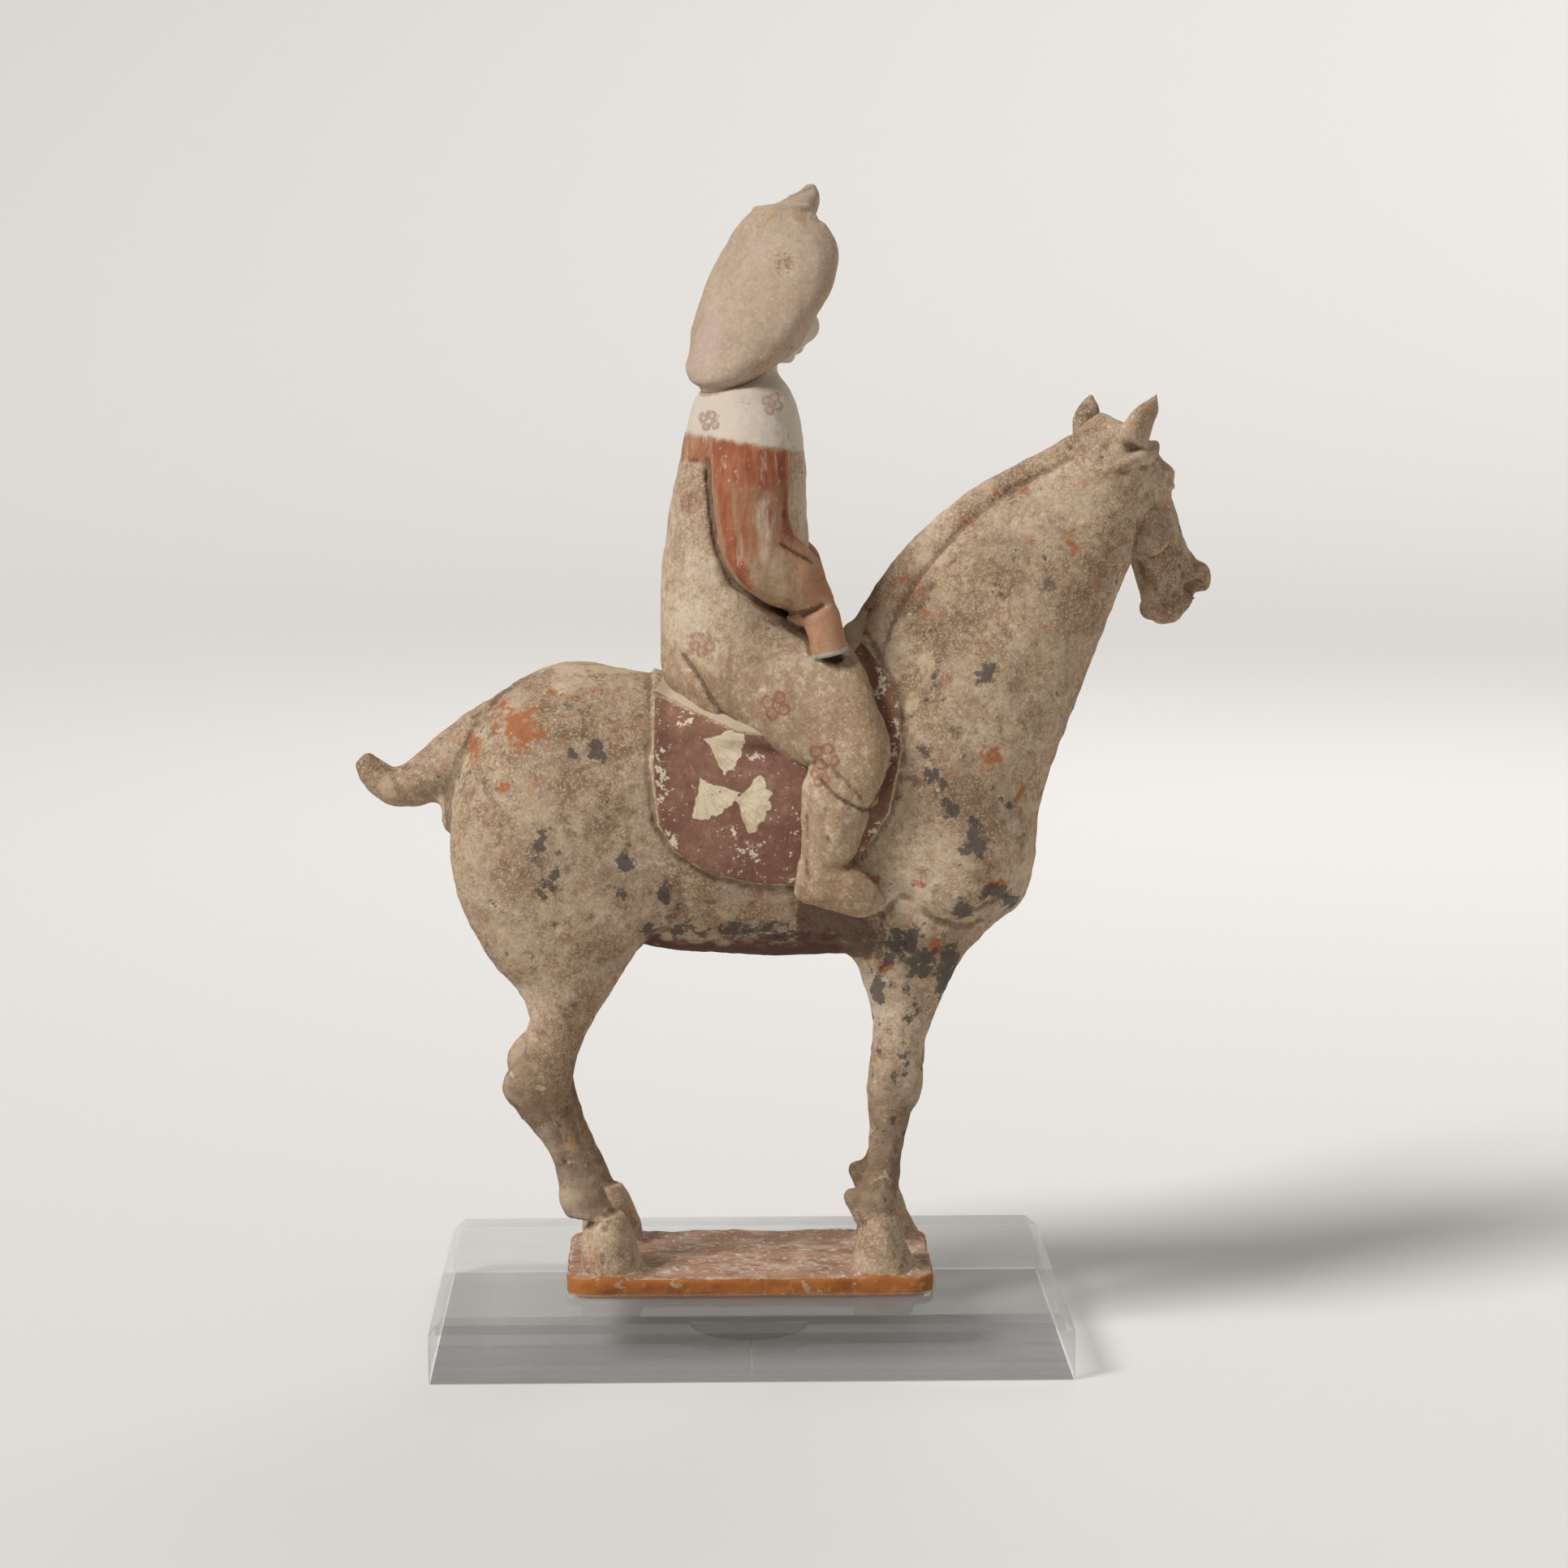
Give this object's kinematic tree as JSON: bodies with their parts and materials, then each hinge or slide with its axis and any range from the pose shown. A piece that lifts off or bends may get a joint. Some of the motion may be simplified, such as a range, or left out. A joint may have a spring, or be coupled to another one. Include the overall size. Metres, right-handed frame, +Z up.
{
  "type": "pottery horse and rider figure",
  "caption": "Painted earthenware horse and rider standing on its own low clay slab, let into a bevelled clear acrylic plinth.",
  "frame": {"origin": "centre of the plinth's underside, where the whole thing rests", "axes": "+X the way the horse faces, +Y its left side, +Z up"},
  "size_m": [0.287, 0.137, 0.384],
  "materials": {
    "painted_pottery": "unglazed earthenware under worn buff slip with faded red paint, fully matte",
    "clear_acrylic": "clear cast acrylic with polished faces and edges"
  },
  "bodies": {
    "root": {"horse_and_rider": "painted_pottery", "acrylic_plinth": "clear_acrylic"}
  },
  "joints": []
}
